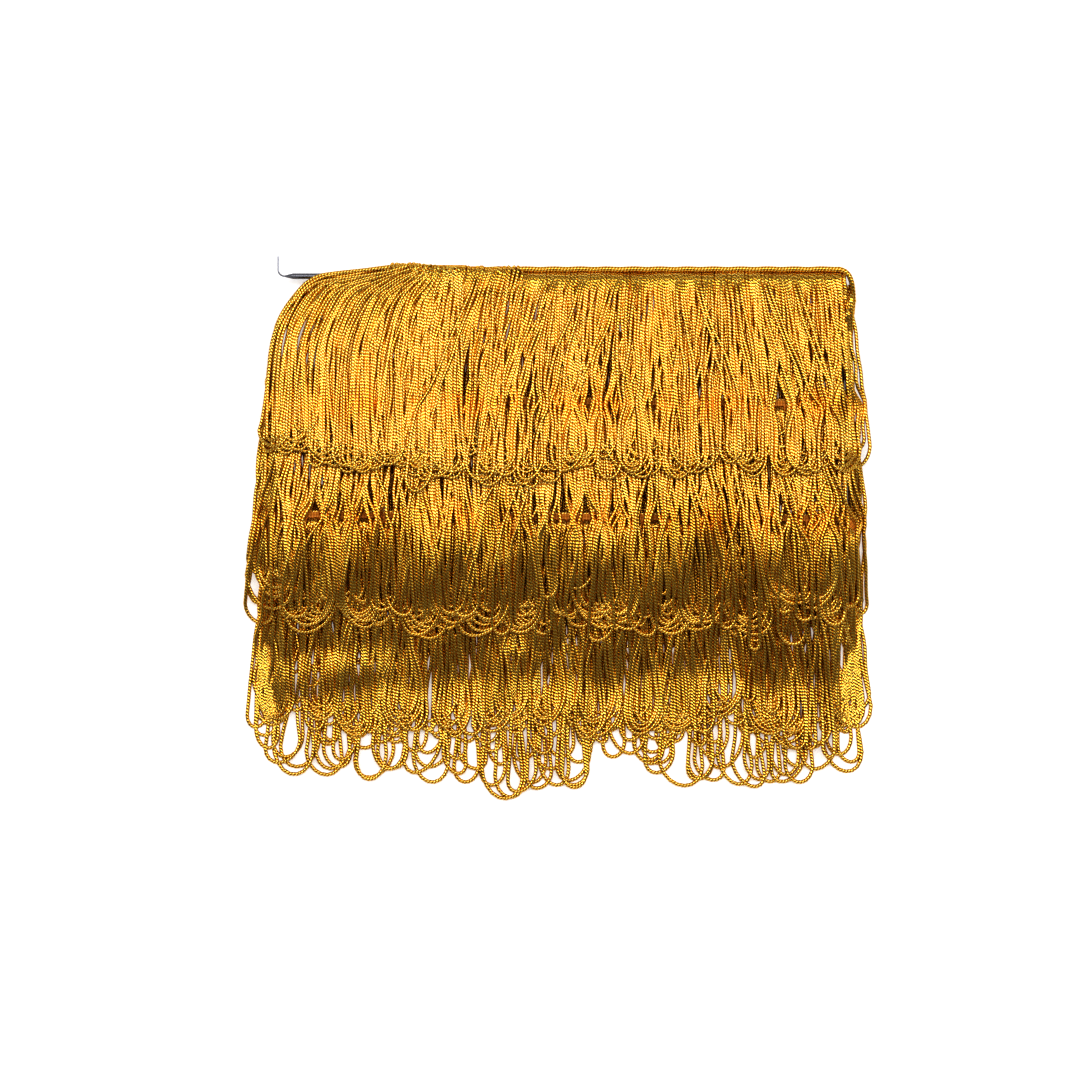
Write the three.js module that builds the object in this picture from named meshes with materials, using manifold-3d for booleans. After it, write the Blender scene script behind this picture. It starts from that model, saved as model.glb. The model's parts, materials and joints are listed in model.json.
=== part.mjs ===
// A looped cord fringe wound three turns round a flat wire frame, lying on its back.
// Millimetres. +X runs across the winding, +Y towards its top edge, +Z up from the surface it lies on.
// A "drop" is a distance down from the top of the winding, so y falls as the drop grows.
import * as THREE from "three";
import { mergeVertices } from "three/addons/utils/BufferGeometryUtils.js";
import Module from "manifold-3d";

const wasm = await Module();
wasm.setup();

// Wire frame inside the winding
const WIRE_DIAMETER = 2.8;
const WIRE_SIDES = 8;
const WIRE_LEVEL = 9.3;
const FRAME_HALF_WIDTH = 134;
const FRAME_TOP = 3.8;
const FRAME_BOTTOM = 126;
const FRAME_BEND = 8;
const BEND_STEPS = 4;
const TAIL_REACH = 132.5;
const TAIL_RISE = 5.6;
const TAIL_BEND = 3;
const SIDE_TOP = 15;

// Heading: the stitched band that holds the tops of the cords
const HEADING_WIDTH = 6;
const HEADING_THICKNESS = 1.6;
const HEADING_LIFT = 0.2;
const RUN_HALF_WIDTH = 130;
const RUN_STEPS = 6;
const TURN_REACH = 138;
const TURN_START = 135.9;

// Locks: groups of cords that hang together, with a flat underside and a ridge
const LOCK_WIDTH = 5.8;
const LOCK_HEIGHT = 3.2;
const LAYER = 3.8;
const FRONT_LEVEL = 11.4;
const FRAME_FALL = 40;
const FRONT_PITCH = 7;
const BACK_PITCH = 11;
const STEP = 10;
const TIP_SCALE = 0.45;
const LEAN_EASE = 1.8;
const ROOT_INSIDE = 1.2;
const ROOT_SCALE = 0.35;
const ROOT_LIFTS = [0.18, 0.3];
const STRAIGHT_WITHIN = 0.25;
const JOIN_TOLERANCE = 0.02;

// Open loops that lie spread on the surface below the winding
const LOOP_PITCH = 12;
const LOOP_WIDTH = 8;
const LOOP_CORD = 2.2;
const LOOP_STEPS = 5;

// Side strands, which hang from the heading where it passes round the frame's sides
const SIDE_WIDTH = 3.2;
const SIDE_FALL = 36;
const SIDE_TIP = 5;
const SIDE_ROOT_SCALE = 0.18;

const GOLD = 0xd9a02c;
const BRIGHT_WIRE = 0xb9bcc2;

// The six half turns in the order in which they are wound. Drops are of the heading's upper edge at the
// left and right sides, and of the loop ends at the left, middle and right. Fan is how far the tips lean
// sideways from their roots, at even places from the left to the right. Waves is the unevenness of the ends.
const HALF_TURNS = [
  { name: "front_1", front: true, left: 2, right: 2, ends: [84, 97, 94], fan: [-19, -21, -7, 1, 7], waves: 2.5 },
  { name: "back_1", front: false, left: 48, right: 18, ends: [136, 120, 104], fan: [-6, -3, 0, 3, 6], waves: 0 },
  { name: "front_2", front: true, left: 60, right: 62, ends: [160, 171, 168], fan: [-9, -4, 0, 4, 8], waves: 4 },
  { name: "back_2", front: false, left: 104, right: 74, ends: [190, 176, 160], fan: [-7, -3, 0, 3, 7], waves: 0 },
  { name: "front_3", front: true, left: 114, right: 116, ends: [214, 221, 218], fan: [-8, -3, 0, 4, 8], waves: 3.5 },
  { name: "back_3", front: false, left: 138, right: 136, ends: [230, 245, 232], fan: [-5, -2, 0, 2, 5], waves: 5 },
];

// The same half turns from the surface upwards, each lying on those before it
const STACK = ["back_1", "back_2", "back_3", "front_3", "front_2", "front_1"];
const LEFT_START = -120;
const TOP_END = 129;

const X_AXIS = new THREE.Vector3(1, 0, 0);
const Y_AXIS = new THREE.Vector3(0, 1, 0);
const Z_AXIS = new THREE.Vector3(0, 0, 1);

const clamp = THREE.MathUtils.clamp;
const lerp = THREE.MathUtils.lerp;
const place = (x, drop, z) => new THREE.Vector3(x, -drop, z);

// Where a half turn's heading and loop ends are, at a place x across the winding
function across(x) {
  return clamp((x / RUN_HALF_WIDTH + 1) / 2, 0, 1);
}

function headingDrop(turn, x) {
  return lerp(turn.left, turn.right, across(x));
}

function endDrop(turn, x) {
  const side = clamp(x / RUN_HALF_WIDTH, -1, 1);
  const [left, middle, right] = turn.ends;
  const edge = side < 0 ? left : right;
  const wave = Math.sin(x * 0.13 + turn.left) * 0.6 + Math.sin(x * 0.047 + turn.right) * 0.4;
  return lerp(middle, edge, side * side) + turn.waves * wave;
}

// Sideways lean at a share of the way down from root to tip, most of it taken near the root
function lean(turn, x, share) {
  const spot = across(x) * (turn.fan.length - 1);
  const column = Math.min(Math.floor(spot), turn.fan.length - 2);
  const reach = lerp(turn.fan[column], turn.fan[column + 1], spot - column);
  return reach * (1 - (1 - share) ** LEAN_EASE);
}

// How much of a layer lies beneath a place: 1 over the half turn, falling to 0 beyond it
function cover(turn, x, drop) {
  const start = headingDrop(turn, x) - STEP;
  const end = endDrop(turn, x) + turn.waves + STEP;
  return clamp(Math.min((drop - start) / STEP + 1, (end - drop) / STEP + 1), 0, 1);
}

const turnNamed = new Map(HALF_TURNS.map((turn) => [turn.name, turn]));

// Height of a half turn's underside: on the layers beneath, and in front on the wire frame too
function levelAtStep(turn, x, drop) {
  const below = STACK.indexOf(turn.name) - 1;
  let level = 0;
  if (below >= 0) {
    const under = turnNamed.get(STACK[below]);
    level = levelAtStep(under, x, drop) + LAYER * cover(under, x, drop);
  }
  if (turn.front) {
    const pastFrame = (drop - FRAME_BOTTOM - STEP) / FRAME_FALL;
    level = Math.max(level, FRONT_LEVEL * clamp(1 - pastFrame, 0, 1));
  }
  return level;
}

// Layers are straight between the same steps down the winding, so they keep their distance
function level(turn, x, drop) {
  const step = Math.floor(drop / STEP);
  const upper = levelAtStep(turn, x, step * STEP);
  const lower = levelAtStep(turn, x, (step + 1) * STEP);
  return lerp(upper, lower, drop / STEP - step);
}

// Carries a flat section along rings, each with a place, two directions for the section and a scale
function sweep(section, rings) {
  const steps = rings.length - 1;
  const geometry = new THREE.ExtrudeGeometry(section, { depth: steps, steps, bevelEnabled: false });
  const points = geometry.getAttribute("position");
  for (let i = 0; i < points.count; i += 1) {
    const ring = rings[Math.round(points.getZ(i))];
    const at = ring.at.clone();
    at.addScaledVector(ring.side, points.getX(i) * ring.scale);
    at.addScaledVector(ring.out, points.getY(i) * ring.scale);
    points.setXYZ(i, at.x, at.y, at.z);
  }
  geometry.deleteAttribute("normal");
  geometry.deleteAttribute("uv");
  return mergeVertices(geometry, 1e-4);
}

function polygonSection(sides, radius) {
  const section = new THREE.Shape();
  section.absarc(0, 0, radius, 0, Math.PI * 2);
  return new THREE.Shape(section.getSpacedPoints(sides).slice(0, sides));
}

function ridgeSection(width, height) {
  const corners = [[-width / 2, 0], [width / 2, 0], [0, height]];
  return new THREE.Shape(corners.map(([x, y]) => new THREE.Vector2(x, y)));
}

function bandSection(width, thickness) {
  const [w, t] = [width / 2, thickness / 2];
  const corners = [[-w, -t], [w, -t], [w, t], [-w, t]];
  return new THREE.Shape(corners.map(([x, y]) => new THREE.Vector2(x, y)));
}

function asManifold(geometry) {
  const vertProperties = new Float32Array(geometry.getAttribute("position").array);
  const triVerts = new Uint32Array(geometry.index.array);
  return new wasm.Manifold(new wasm.Mesh({ numProp: 3, vertProperties, triVerts }));
}

function asGeometry(manifold) {
  const mesh = manifold.getMesh();
  const geometry = new THREE.BufferGeometry();
  geometry.setAttribute("position", new THREE.BufferAttribute(mesh.vertProperties, 3));
  geometry.setIndex(new THREE.BufferAttribute(mesh.triVerts, 1));
  return geometry;
}

// Wire frame: turned-up tail, top run, right side, bottom run and left side, all one wire
function bendPoints(centreX, centreDrop, radius, from, to) {
  const points = [];
  for (let i = 0; i <= BEND_STEPS; i += 1) {
    const angle = THREE.MathUtils.degToRad(lerp(from, to, i / BEND_STEPS));
    const x = centreX + radius * Math.cos(angle);
    points.push(place(x, centreDrop - radius * Math.sin(angle), WIRE_LEVEL));
  }
  return points;
}

function wireRoute() {
  const inner = FRAME_HALF_WIDTH - FRAME_BEND;
  const tailX = TAIL_BEND - TAIL_REACH;
  return [
    place(-TAIL_REACH, -TAIL_RISE, WIRE_LEVEL),
    ...bendPoints(tailX, FRAME_TOP - TAIL_BEND, TAIL_BEND, 180, 270),
    ...bendPoints(inner, FRAME_TOP + FRAME_BEND, FRAME_BEND, 90, 0),
    ...bendPoints(inner, FRAME_BOTTOM - FRAME_BEND, FRAME_BEND, 0, -90),
    ...bendPoints(-inner, FRAME_BOTTOM - FRAME_BEND, FRAME_BEND, -90, -180),
    place(-FRAME_HALF_WIDTH, SIDE_TOP, WIRE_LEVEL),
  ];
}

function wireFrame() {
  const route = wireRoute();
  const rings = route.map((at, i) => {
    const before = route[Math.max(i - 1, 0)];
    const after = route[Math.min(i + 1, route.length - 1)];
    const travel = after.clone().sub(before).normalize();
    const side = Z_AXIS.clone().cross(travel);
    return { at, side: side.negate(), out: Z_AXIS.clone().negate(), scale: 1 };
  });
  return sweep(polygonSection(WIRE_SIDES, WIRE_DIAMETER / 2), rings);
}

// Heading: a band that stands on the frame's top edge in the first run and lies flat after it
function headingRing(x, drop, z, width) {
  return { at: place(x, drop, z), width: width.clone().normalize() };
}

function headingRun(turn) {
  const down = Y_AXIS.clone().negate();
  const start = turn.front ? -RUN_HALF_WIDTH : RUN_HALF_WIDTH;
  const xs = Array.from({ length: RUN_STEPS + 1 }, (_, i) => start * (1 - 2 * i / RUN_STEPS));
  return xs.map((x) => {
    const upper = headingDrop(turn, x);
    const z = level(turn, x, upper) + HEADING_LIFT + HEADING_THICKNESS / 2;
    return headingRing(x, upper + HEADING_WIDTH / 2, z, down);
  });
}

// The band passes round a side of the frame a little outside the wire
const PASS = [
  { along: 0.02, reach: TURN_START },
  { along: 0.2, reach: TURN_REACH },
  { along: 0.5, reach: TURN_REACH },
  { along: 0.8, reach: TURN_REACH },
  { along: 0.98, reach: TURN_START },
];

function passRound(from, to) {
  const side = Math.sign(from.at.x);
  return PASS.map((row) => {
    const at = from.at.clone().lerp(to.at, row.along).setX(side * row.reach);
    return { at, width: from.width.clone() };
  });
}

// The first run stands on edge along the frame's top, and its cords bend over onto the front
const STANDING_Z = FRONT_LEVEL - 2.9;
const STANDING_DROP = HEADING_THICKNESS / 2;
const STANDING_FALL = 7;

function headingRings() {
  const up = Z_AXIS.clone();
  const rings = [
    ...[0, 0.25, 0.5, 0.75, 1].map((t) => (
      headingRing(lerp(LEFT_START, TOP_END, t), STANDING_DROP, STANDING_Z, up)
    )),
    headingRing(134.4, 1.8, STANDING_Z + 0.6, new THREE.Vector3(0.3, -0.5, 0.8)),
    headingRing(TURN_REACH + 0.6, 11, 6.4, new THREE.Vector3(0, -0.9, 0.3)),
    headingRing(TURN_REACH, 17, 3, Y_AXIS.clone().negate()),
  ];
  for (const turn of HALF_TURNS.slice(1)) {
    const run = headingRun(turn);
    if (turn.name !== "back_1") rings.push(...passRound(rings[rings.length - 1], run[0]));
    rings.push(...run);
  }
  return rings.map((ring, i) => {
    const before = rings[Math.max(i - 1, 0)].at;
    const after = rings[Math.min(i + 1, rings.length - 1)].at;
    const travel = after.clone().sub(before).normalize();
    const out = travel.clone().cross(ring.width).normalize();
    const side = out.clone().cross(travel).normalize();
    return { at: ring.at, side, out, scale: 1 };
  });
}

function heading() {
  return sweep(bandSection(HEADING_WIDTH, HEADING_THICKNESS), headingRings());
}

// Locks of a half turn
function lockDrops(from, to) {
  const drops = [from];
  for (let drop = (Math.floor(from / STEP) + 1) * STEP; drop < to - STEP / 2; drop += STEP) {
    if (drop > from + 1) drops.push(drop);
  }
  drops.push(to);
  return drops;
}

// Leaves out rings that lie on the straight line between their neighbours
function withoutStraight(rings) {
  const kept = [rings[0]];
  for (let i = 1; i < rings.length - 1; i += 1) {
    const [last, ring, next] = [kept[kept.length - 1], rings[i], rings[i + 1]];
    const line = new THREE.Line3(last.at, next.at);
    const near = line.closestPointToPoint(ring.at, true, new THREE.Vector3());
    const bent = near.distanceTo(ring.at) > STRAIGHT_WITHIN;
    if (bent || next.scale !== ring.scale || last.scale !== ring.scale) kept.push(ring);
  }
  kept.push(rings[rings.length - 1]);
  return kept;
}

function lockRings(turn, x, index) {
  const standing = turn.name === "front_1";
  const upper = headingDrop(turn, x);
  const from = standing ? STANDING_FALL : upper + HEADING_WIDTH - ROOT_INSIDE;
  const to = endDrop(turn, x);
  const rings = lockDrops(from, to).map((drop) => {
    const leant = x + lean(turn, x, (drop - upper) / (to - upper));
    const atRoot = drop === from && !standing;
    const scale = atRoot ? ROOT_SCALE : drop === to ? TIP_SCALE : 1;
    const lift = atRoot ? ROOT_LIFTS[index % 2] : 0;
    const at = place(leant, drop, level(turn, leant, drop) + lift);
    return { at, side: X_AXIS, out: Z_AXIS, scale };
  });
  const kept = withoutStraight(rings);
  if (!standing) return kept;
  const tilted = new THREE.Vector3(0, 1, 1).normalize();
  const root = place(x, STANDING_DROP + 0.5, STANDING_Z + 2);
  const bend = place(x, STANDING_DROP + 1.1, STANDING_Z + 3.3);
  return [
    { at: root, side: X_AXIS, out: Y_AXIS, scale: 0.35 },
    { at: bend, side: X_AXIS, out: tilted, scale: 0.8 },
    ...kept,
  ];
}

function lock(turn, x, index) {
  return sweep(ridgeSection(LOCK_WIDTH, LOCK_HEIGHT), lockRings(turn, x, index));
}

function locksOf(turn) {
  const pitch = turn.front ? FRONT_PITCH : BACK_PITCH;
  const first = turn.name === "front_1" ? LEFT_START + LOCK_WIDTH / 2 : pitch / 2 - RUN_HALF_WIDTH;
  const locks = [];
  for (let x = first; x <= RUN_HALF_WIDTH - 1; x += pitch) {
    locks.push(lock(turn, x, locks.length));
  }
  return locks;
}

// One open loop: down one leg, round the end and back up the other leg into the heading
function loop(turn, x) {
  const from = headingDrop(turn, x) + HEADING_WIDTH - ROOT_INSIDE;
  const to = endDrop(turn, x);
  const radius = LOOP_WIDTH / 2;
  const round = to - radius;
  const straight = withoutStraight(lockDrops(from, round).slice(0, -1).map((drop) => (
    { at: place(x, drop, level(turn, x, drop)), scale: 1 }
  ))).map((ring) => -ring.at.y);
  const legAt = (drop, sign) => {
    const along = (drop - from) / (to - from);
    const middle = x + lean(turn, x, along);
    const spread = lerp(LOOP_CORD * 0.9, radius, clamp(along * 2, 0, 1));
    return place(middle + sign * spread, drop, level(turn, middle, drop));
  };
  const middle = x + lean(turn, x, 1);
  const end = [];
  for (let i = 0; i <= LOOP_STEPS; i += 1) {
    const angle = Math.PI * (1 + i / LOOP_STEPS);
    const drop = round - radius * Math.sin(angle);
    end.push(place(middle + radius * Math.cos(angle), drop, level(turn, middle, drop)));
  }
  const route = [
    ...straight.map((drop) => legAt(drop, -1)),
    ...end,
    ...straight.reverse().map((drop) => legAt(drop, 1)),
  ];
  const rings = route.map((at, i) => {
    const before = route[Math.max(i - 1, 0)];
    const after = route[Math.min(i + 1, route.length - 1)];
    const travel = after.clone().sub(before).setZ(0).normalize();
    return { at, side: Z_AXIS.clone().cross(travel), out: Z_AXIS, scale: 1 };
  });
  return sweep(ridgeSection(LOOP_CORD, LOOP_CORD), rings);
}

function loopsOf(turn) {
  const loops = [];
  for (let x = LOOP_PITCH / 2 - RUN_HALF_WIDTH; x <= RUN_HALF_WIDTH - LOOP_PITCH / 2; x += LOOP_PITCH) {
    loops.push(loop(turn, x));
  }
  return loops;
}

// Side strands: one hangs from the heading at each place where it passes round a side of the frame,
// and comes down to rest on the surface beside the winding
const SIDE_STRANDS = [
  { side: 1, root: 16.9, z: 2.8, reach: 140.2, end: 108 },
  { side: -1, root: 57, z: 6.4, reach: 144, end: 130 },
  { side: 1, root: 71, z: 8.3, reach: 144, end: 170 },
  { side: -1, root: 112, z: 8.3, reach: 141, end: 206 },
  { side: 1, root: 129, z: 10.2, reach: 140.4, end: 218 },
];

function sideStrand(row) {
  const ring = (reach, drop, z, scale) => (
    { at: place(row.side * reach, drop, z), side: X_AXIS, out: Z_AXIS, scale }
  );
  return sweep(ridgeSection(SIDE_WIDTH, LOCK_HEIGHT), [
    ring(TURN_REACH, row.root, row.z, SIDE_ROOT_SCALE),
    ring(row.reach, row.root + SIDE_FALL / 2, row.z / 2, 1),
    ring(row.reach, row.root + SIDE_FALL, 0, 1),
    ring(row.reach, row.end - SIDE_TIP, 0, 1),
    ring(row.reach, row.end, 0, TIP_SCALE),
  ]);
}

function fringeTrim() {
  const pieces = [heading(), ...SIDE_STRANDS.map(sideStrand)];
  for (const turn of HALF_TURNS) {
    if (turn.name === "back_3") pieces.push(...loopsOf(turn));
    else pieces.push(...locksOf(turn));
  }
  const joined = wasm.Manifold.union(pieces.map(asManifold));
  return asGeometry(joined.asOriginal().simplify(JOIN_TOLERANCE));
}

const gold = new THREE.MeshStandardMaterial({ color: GOLD, roughness: 0.45, metalness: 0.3 });
const brightWire = new THREE.MeshStandardMaterial({ color: BRIGHT_WIRE, roughness: 0.15, metalness: 1 });

const trim = new THREE.Mesh(fringeTrim(), gold);
trim.name = "fringe_trim";
const wire = new THREE.Mesh(wireFrame(), brightWire);
wire.name = "core_wire";

// The origin is the middle of the underside
const winding = new THREE.Group();
winding.add(trim, wire);
const box = new THREE.Box3().setFromObject(winding);
const middle = box.getCenter(new THREE.Vector3());
winding.position.set(-middle.x, -middle.y, -box.min.z);

export default winding;
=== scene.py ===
# %% [markdown]
# # A looped cord fringe, wound on a wire frame
# A fringe is one long strip: a stitched band along the top, and hundreds of soft chain-knit cords that
# loop down from it. This one is wound three times round a flat wire frame, each turn lower than the last,
# and lies on its back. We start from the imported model, which fixes every size and place.
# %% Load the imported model
import json
import math

import bpy
import numpy as np
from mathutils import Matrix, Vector

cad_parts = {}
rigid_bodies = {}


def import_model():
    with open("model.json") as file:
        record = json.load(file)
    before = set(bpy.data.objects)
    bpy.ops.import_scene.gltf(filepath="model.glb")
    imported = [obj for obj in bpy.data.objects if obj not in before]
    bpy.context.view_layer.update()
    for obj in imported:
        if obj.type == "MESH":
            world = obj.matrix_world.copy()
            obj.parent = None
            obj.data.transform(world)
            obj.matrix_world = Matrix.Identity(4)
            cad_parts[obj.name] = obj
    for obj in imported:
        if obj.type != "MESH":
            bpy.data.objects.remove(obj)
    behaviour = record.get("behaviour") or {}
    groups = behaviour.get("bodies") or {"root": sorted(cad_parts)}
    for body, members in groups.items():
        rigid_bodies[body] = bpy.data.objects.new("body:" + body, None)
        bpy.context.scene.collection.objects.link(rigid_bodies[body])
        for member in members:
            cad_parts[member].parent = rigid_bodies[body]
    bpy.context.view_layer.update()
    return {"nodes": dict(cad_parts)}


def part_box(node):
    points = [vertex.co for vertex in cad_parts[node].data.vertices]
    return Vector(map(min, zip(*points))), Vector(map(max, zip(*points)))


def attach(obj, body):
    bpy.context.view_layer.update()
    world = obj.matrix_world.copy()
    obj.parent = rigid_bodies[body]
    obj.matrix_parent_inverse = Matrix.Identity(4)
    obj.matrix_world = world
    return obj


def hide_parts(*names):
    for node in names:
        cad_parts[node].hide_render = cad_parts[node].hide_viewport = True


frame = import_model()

MM = 0.001
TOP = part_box("fringe_trim")[1][1] / MM
print("packed nodes", sorted(frame["nodes"]), "top edge at", round(TOP, 2), "mm")

# %% [markdown]
# ## Camera
# The winding was photographed from straight above. A wide lens close by would make its sides lean outwards,
# so the camera stands high up with a long lens, as a product photographer would have it. One pixel of the
# picture is 0.47 mm on the object.
# %% Camera
PICTURE = 1080
PIXEL = 0.47
WINDING_MIDDLE = 560
WINDING_TOP = 268
CAMERA_HEIGHT = 1.6
WINDING_HEIGHT = 0.01
VIEW_CENTRE = ((PICTURE / 2 - WINDING_MIDDLE) * PIXEL, TOP - (PICTURE / 2 - WINDING_TOP) * PIXEL)

camera_data = bpy.data.cameras.new("camera")
camera_data.sensor_width = 36
camera_data.lens = camera_data.sensor_width * (CAMERA_HEIGHT - WINDING_HEIGHT) / (PICTURE * PIXEL * MM)
camera = bpy.data.objects.new("camera", camera_data)
camera.location = (VIEW_CENTRE[0] * MM, VIEW_CENTRE[1] * MM, CAMERA_HEIGHT)
bpy.context.collection.objects.link(camera)
bpy.context.scene.camera = camera
print("lens", round(camera_data.lens, 1), "mm")

# %% [markdown]
# ## The winding's half turns
# Each time the strip passes over the front or the back it makes one half turn. Every row could be placed by
# itself, but a small table is easier to read and to change. It says where each half turn's band lies and
# where its loops end. A drop is a distance down from the top edge, in millimetres. Fan is how far the tips
# lean sideways, from the left of the winding to the right, and waves is how uneven the ends are.
# %% The winding's half turns
HALF_WIDTH = 130
LEAN_EASE = 1.8
TURNS = {
    "front_1": dict(front=True, left=2, right=2, ends=(84, 97, 94), fan=(-13, -21, -7, 1, 7), waves=2.5),
    "back_1": dict(front=False, left=48, right=18, ends=(136, 120, 104), fan=(-6, -3, 0, 3, 6), waves=0),
    "front_2": dict(front=True, left=60, right=62, ends=(160, 171, 168), fan=(-9, -4, 0, 4, 8), waves=4),
    "back_2": dict(front=False, left=104, right=74, ends=(190, 176, 160), fan=(-7, -3, 0, 3, 7), waves=0),
    "front_3": dict(front=True, left=114, right=116, ends=(214, 221, 218), fan=(-8, -3, 0, 4, 8), waves=3.5),
    "back_3": dict(front=False, left=138, right=136, ends=(230, 242, 232), fan=(-5, -2, 0, 2, 5), waves=5),
}
STACK = ["back_1", "back_2", "back_3", "front_3", "front_2", "front_1"]


def across(x):
    """0 at the winding's left side and 1 at its right."""
    return np.clip((x / HALF_WIDTH + 1) / 2, 0, 1)


def band_drop(name, x):
    turn = TURNS[name]
    return turn["left"] + (turn["right"] - turn["left"]) * across(x)


def end_drop(name, x):
    """Where a row's loops end: a smooth line with a long and a short wave in it."""
    turn = TURNS[name]
    side = np.clip(x / HALF_WIDTH, -1, 1)
    left, middle, right = turn["ends"]
    edge = np.where(side < 0, left, right)
    wave = np.sin(x * 0.13 + turn["left"]) * 0.6 + np.sin(x * 0.047 + turn["right"]) * 0.4
    return middle + (edge - middle) * side**2 + turn["waves"] * wave


def lean(name, x, share):
    """How far a cord has leaned sideways at a share of its length."""
    fan = TURNS[name]["fan"]
    reach = np.interp(across(x), np.linspace(0, 1, len(fan)), fan)
    return reach * (1 - (1 - np.clip(share, 0, 1)) ** LEAN_EASE)


print("rows end at", {name: round(float(end_drop(name, 0.0)), 1) for name in TURNS}, "mm in the middle")

# %% [markdown]
# ## How high each layer lies
# Cloth that is wound lies on what was wound before it. A cloth simulation of a thousand cords would take
# hours, so a few soft steps say how high each layer lies. On the front the lowest layer lies on the wire, and
# past the frame's lower edge it falls to the table. A layer rides up before it reaches the band beneath it,
# and comes down where the loops beneath it end.
# %% Height of a layer
LAYER = 3.1
PRESSED = 1.6
PRESSING = 56
FRONT_LEVEL = 11.4
FRAME_BOTTOM = 126
FALL_AHEAD = 10
FALL_LENGTH = 102
BAND_AHEAD = 58
BAND_RISE = 56
ENDS_AHEAD = 18
ENDS_FALL = 16


def soft(t):
    """A step from 0 to 1 that starts and ends softly."""
    t = np.clip(t, 0, 1)
    return t * t * (3 - 2 * t)


def cover(name, x, drop):
    over_band = soft((drop - band_drop(name, x) + BAND_AHEAD) / BAND_RISE)
    over_ends = soft((end_drop(name, x) + ENDS_AHEAD - drop) / ENDS_FALL)
    return over_band * over_ends


def on_the_frame(x, drop):
    """Level on the frame, then down to the table past a soft, uneven edge."""
    edge = FRAME_BOTTOM - FALL_AHEAD + 4 * np.sin(x / 13) + 2 * np.sin(x / 5.3 + 2)
    return FRONT_LEVEL * (1 - soft((drop - edge) / FALL_LENGTH))


def ripple(x, drop):
    """Cloth never lies quite flat: low swells a few centimetres across."""
    return 0.5 * np.sin(x / 8 + 1.3 * np.sin(drop / 25)) * np.sin(drop / 10 + x / 23)


def layer_level(name, x, drop):
    height = np.zeros(np.broadcast(x, drop).shape)
    thick = LAYER + (PRESSED - LAYER) * soft((drop - FRAME_BOTTOM) / PRESSING)
    for under in STACK[:STACK.index(name)]:
        if TURNS[under]["front"]:
            height = np.maximum(height, on_the_frame(x, drop))
        height = height + thick * cover(under, x, drop)
    if TURNS[name]["front"]:
        height = np.maximum(height, on_the_frame(x, drop)) + ripple(x, drop)
    return height


print("front_1 lies at", np.round(layer_level("front_1", 0.0, np.array([20.0, 70.0])), 1), "mm")

# %% [markdown]
# ## Rings along a path
# A cord is a thin tube along a path. A curve with a round bevel would do for one cord. For hundreds, rings of
# points are laid round all the paths at once, as arrays. Each ring's frame is carried along from the ring
# before it, so that the tube doesn't twist in a bend.
# %% Rings along a path
CORD = 0.9
KNIT = 1.5


def first_side(travel):
    """A side for the first ring: across the winding, or upwards where the path itself runs across."""
    return np.where(np.abs(travel[:, :1]) > 0.99, [0.0, 0.0, 1.0], [1.0, 0.0, 0.0])


def rings_along(paths, radius, sides):
    """Points of the rings round each path, and how far along its path each ring is."""
    steps = np.diff(paths, axis=1)
    travel = np.concatenate([steps[:, :1], steps[:, :-1] + steps[:, 1:], steps[:, -1:]], axis=1)
    travel /= np.linalg.norm(travel, axis=2, keepdims=True)
    side = first_side(travel[:, 0])
    turns = np.arange(sides) * 2 * np.pi / sides
    rings = np.empty(paths.shape[:2] + (sides, 3))
    for i in range(paths.shape[1]):
        side = side - (side * travel[:, i]).sum(axis=1, keepdims=True) * travel[:, i]
        side /= np.linalg.norm(side, axis=1, keepdims=True)
        out = np.cross(travel[:, i], side)
        ring = side[:, None] * np.cos(turns)[:, None] + out[:, None] * np.sin(turns)[:, None]
        rings[:, i] = paths[:, i, None] + radius * ring
    travelled = np.linalg.norm(steps, axis=2).cumsum(axis=1)
    return rings, np.concatenate([np.zeros((len(paths), 1)), travelled], axis=1)


def placed(x, drop, z):
    """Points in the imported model's frame, in millimetres."""
    x, drop, z = np.broadcast_arrays(x, drop, z)
    return np.stack([x, TOP - drop, z], axis=-1)


print("a cord is", 2 * CORD, "mm thick, with a ridge of its knit every", KNIT, "mm")

# %% [markdown]
# ## A piece from rings
# The rings are joined by quads, and each end is closed with one face. The UV map holds the way round the cord
# and the length along it, so that the knit follows every bend. Two attributes go with the points: tone, one
# random number for each cord, and painted_band_glow, which is high where a cord passes over the next row's
# band: a painted orange glow for light thrown up from that band.
# %% A piece from rings
BAND_BELOW = {"front_1": "front_2", "corner_fan": "front_2", "front_2": "front_3"}
BAND_MIDDLE = 3
GLOW_REACH = 7


def near_next_band(name, x, drop, reach):
    """1 where a row passes over the next row's band, and 0 away from it."""
    if name not in BAND_BELOW:
        return np.zeros(np.broadcast(x, drop).shape)
    return np.exp(-((drop - band_drop(BAND_BELOW[name], x) - BAND_MIDDLE) / reach)**2)


# painted glow: how strongly cords over the next row's band are tinted orange, uneven along the row
def uneven_painted_glow(name, x, drop):
    uneven = 0.5 + 0.3 * np.sin(x / 9) + 0.2 * np.sin(x / 3.7 + 1)
    return near_next_band(name, x, drop, GLOW_REACH) * uneven


def knit_places(lengths, sides):
    """For each corner of each quad, the way round the cord and the length along it, counted in ridges."""
    along = lengths / KNIT
    here, there = along[:, :-1, None], along[:, 1:, None]
    u = np.broadcast_to(np.arange(sides) / sides, here.shape[:2] + (sides,))
    corners = [(u, here), (u + 1 / sides, here), (u + 1 / sides, there), (u, there)]
    pairs = [np.stack([way, np.broadcast_to(length, u.shape)], axis=-1) for way, length in corners]
    return np.stack(pairs, axis=3).reshape(-1, 2)


def mesh_from_arrays(name, points, corners, starts):
    mesh = bpy.data.meshes.new(name)
    mesh.vertices.add(len(points))
    mesh.vertices.foreach_set("co", (points * MM).ravel())
    mesh.loops.add(len(corners))
    mesh.loops.foreach_set("vertex_index", corners)
    mesh.polygons.add(len(starts))
    mesh.polygons.foreach_set("loop_start", starts)
    return mesh


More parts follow.
